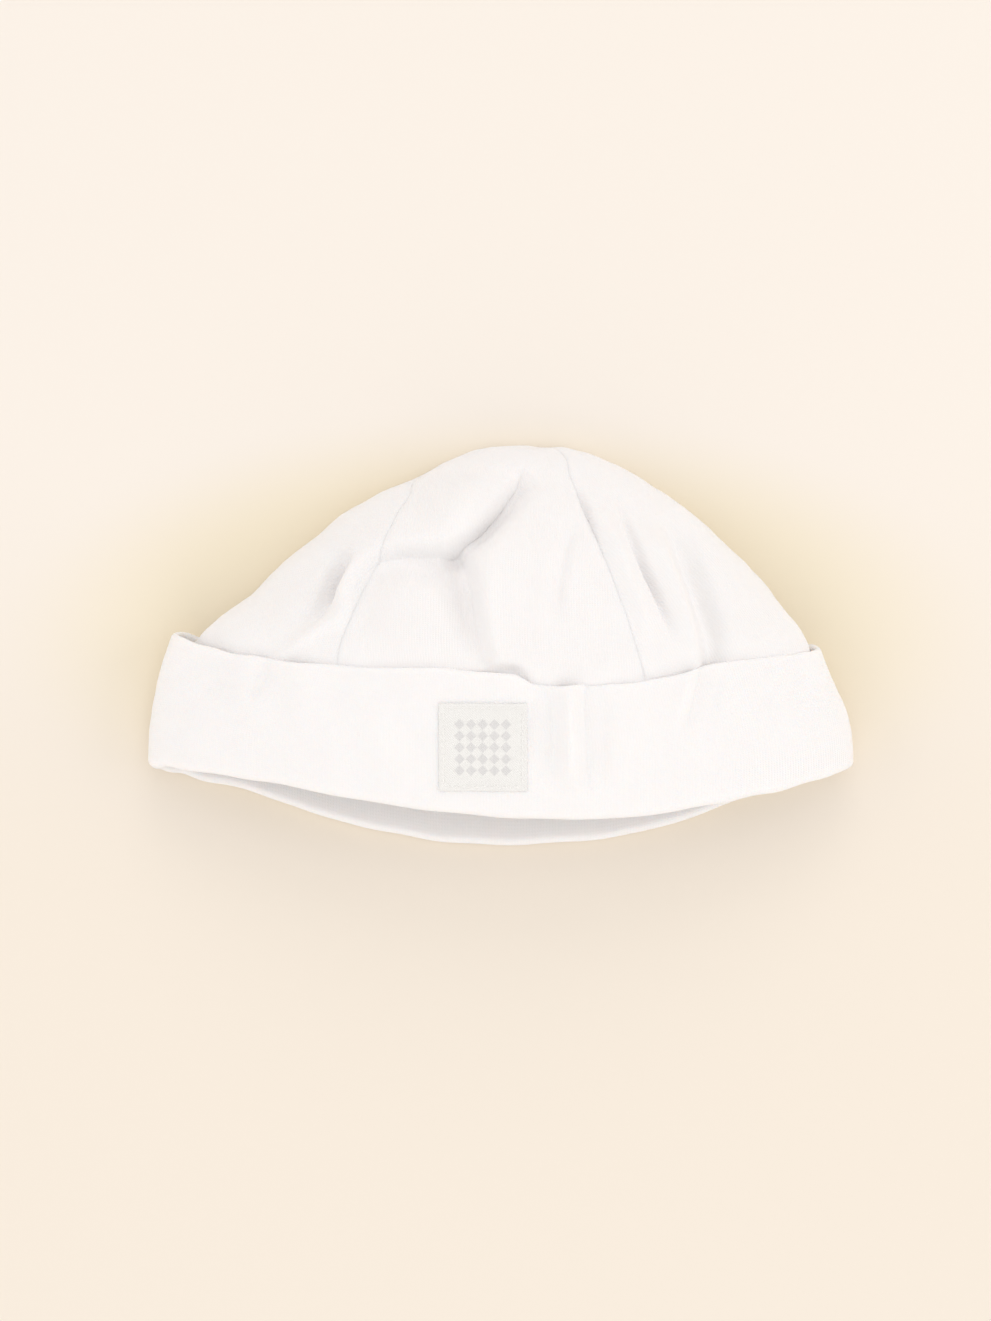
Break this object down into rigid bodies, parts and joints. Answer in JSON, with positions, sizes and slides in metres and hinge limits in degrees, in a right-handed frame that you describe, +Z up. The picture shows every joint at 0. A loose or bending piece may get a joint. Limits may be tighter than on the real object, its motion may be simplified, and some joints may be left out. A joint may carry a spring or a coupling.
{
  "type": "baby cap",
  "caption": "Soft knitted cotton baby cap with a turned-up cuff and a small square patch, lying flat on its back.",
  "frame": {"origin": "on the surface that the cap lies on, under the middle of its box", "axes": "+X across the cap from side fold to side fold, +Y from the head opening to the top of the crown, +Z up from the surface, out of the cap's front"},
  "size_m": [0.169, 0.096, 0.0335],
  "materials": {
    "crown_knit": "soft white cotton knit",
    "cuff_knit": "soft white cotton knit",
    "patch_weave": "pale grey woven patch"
  },
  "bodies": {
    "root": {"crown_front_panel": "crown_knit", "crown_left_panel": "crown_knit", "crown_right_panel": "crown_knit", "crown_back_panel": "crown_knit", "cuff": "cuff_knit", "label_patch": "patch_weave"}
  },
  "joints": []
}
